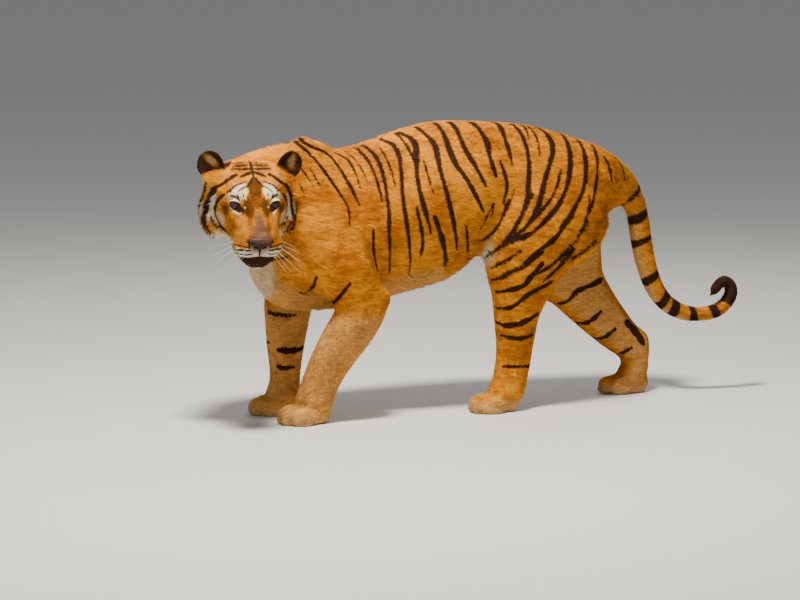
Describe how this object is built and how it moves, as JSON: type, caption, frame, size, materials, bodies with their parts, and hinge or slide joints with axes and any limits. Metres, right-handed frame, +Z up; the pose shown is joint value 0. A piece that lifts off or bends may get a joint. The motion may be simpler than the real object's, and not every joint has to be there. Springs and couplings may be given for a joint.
{
  "type": "tiger",
  "caption": "Life-size walking tiger with its head turned to its left and a hanging tail that curls up at the tip",
  "frame": {"origin": "Middle of the bounding box on the floor under the tiger", "axes": "+X runs from the chest to the tail, +Y to the tiger's right side, +Z up; the tiger walks towards -X and looks towards -Y"},
  "size_m": [2.0228, 0.642, 0.9797],
  "materials": {
    "coat_orange": "short striped fur",
    "coat_pale": "short pale fur",
    "coat_tail": "short banded fur",
    "nose_leather": "moist",
    "eye_amber": "wet gloss"
  },
  "bodies": {
    "root": {"belly": "coat_orange", "chest": "coat_orange", "ear_left": "coat_orange", "ear_right": "coat_orange", "eye_left": "eye_amber", "eye_right": "eye_amber", "forearm_left": "coat_orange", "forearm_right": "coat_orange", "forepaw_left": "coat_orange", "forepaw_right": "coat_orange", "head": "coat_orange", "hindpaw_left": "coat_orange", "hindpaw_right": "coat_orange", "hips": "coat_orange", "jaw": "coat_pale", "metatarsus_right": "coat_orange", "neck": "coat_orange", "nose": "nose_leather", "shank_left": "coat_orange", "shank_right": "coat_orange", "shoulder_left": "coat_orange", "shoulder_right": "coat_orange", "tail_base": "coat_tail", "tail_bend": "coat_tail", "tail_curl": "coat_tail", "tail_lower": "coat_tail", "tail_middle": "coat_tail", "tail_tip": "coat_tail", "tail_upper": "coat_tail", "thigh_left": "coat_orange", "thigh_right": "coat_orange"}
  },
  "joints": []
}
